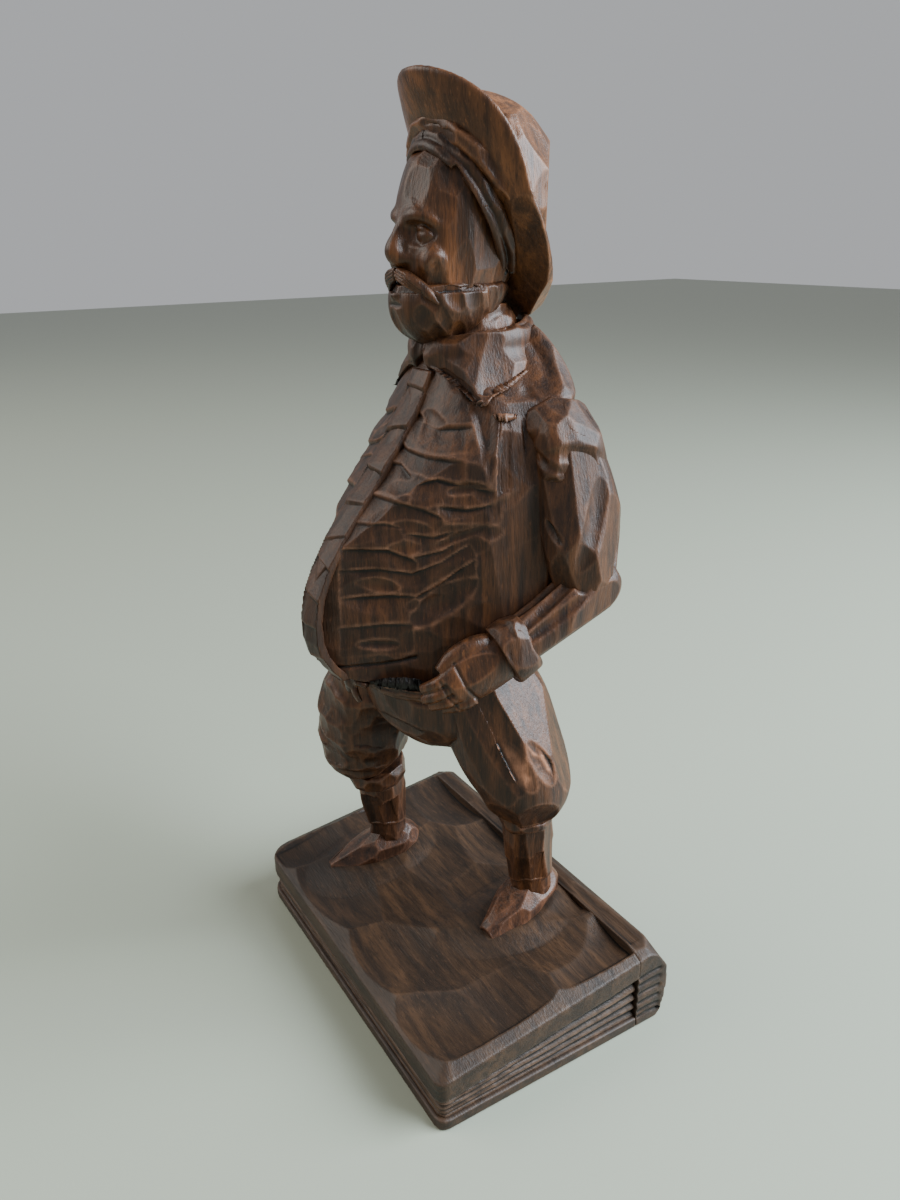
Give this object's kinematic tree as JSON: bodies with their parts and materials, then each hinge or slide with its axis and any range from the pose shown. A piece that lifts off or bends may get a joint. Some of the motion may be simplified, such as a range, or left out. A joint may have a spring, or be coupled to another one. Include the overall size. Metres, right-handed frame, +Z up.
{
  "type": "carved wooden figurine",
  "caption": "Free-standing carved figurine of a stout man in a brimmed hat and breeches, hands at his sides, standing astride on a closed book.",
  "frame": {"origin": "centre of the book base's underside, on the surface the figurine stands on", "axes": "+Z up, the figure faces -Y, +X towards the figure's left hand and along the book's length"},
  "size_m": [0.116, 0.0761, 0.2507],
  "materials": {
    "belt_wood": "dark stained carved wood, satin",
    "book_wood": "dark brown stained carved wood, matte grey-brown on the end grain of the top",
    "breeches_wood": "dark walnut-stained carved wood with a thin satin varnish",
    "dowel_wood": "plain unstained wood",
    "hair_wood": "dark stained carved wood, satin",
    "hat_wood": "red-brown stained carved wood, satin, grain running up the brim",
    "jacket_wood": "dark walnut-stained carved wood with a thin satin varnish",
    "shoe_wood": "dark stained carved wood, satin",
    "skin_wood": "red-brown stained carved wood, satin"
  },
  "bodies": {
    "root": {"dowel_hat": "dowel_wood", "dowel_neck": "dowel_wood", "dowel_shoulder_left": "dowel_wood", "dowel_shoulder_right": "dowel_wood", "dowel_ankle_left": "dowel_wood", "dowel_ankle_right": "dowel_wood", "book_lower_cover": "book_wood", "book_page_block": "book_wood", "book_upper_cover": "book_wood", "book_spine": "book_wood", "shoe_right": "shoe_wood", "stocking_right": "breeches_wood", "knee_band_right": "breeches_wood", "breeches_leg_right": "breeches_wood", "shoe_left": "shoe_wood", "stocking_left": "breeches_wood", "knee_band_left": "breeches_wood", "breeches_leg_left": "breeches_wood", "breeches_seat": "breeches_wood", "belt": "belt_wood", "belt_buckle": "belt_wood", "shoulder_roll_left": "jacket_wood", "shoulder_roll_right": "jacket_wood", "upper_sleeve_left": "jacket_wood", "upper_sleeve_right": "jacket_wood", "lower_sleeve_left": "jacket_wood", "lower_sleeve_right": "jacket_wood", "cuff_left": "jacket_wood", "cuff_right": "jacket_wood", "hand_left": "skin_wood", "hand_right": "skin_wood", "collar_left": "jacket_wood", "collar_right": "jacket_wood", "jacket_placket": "jacket_wood", "jacket": "jacket_wood", "neck": "skin_wood", "beard": "hair_wood", "moustache": "hair_wood", "head": "skin_wood", "hair_left": "hair_wood", "hair_right": "hair_wood", "hat_brim": "hat_wood", "hat_crown": "hat_wood"}
  },
  "joints": []
}
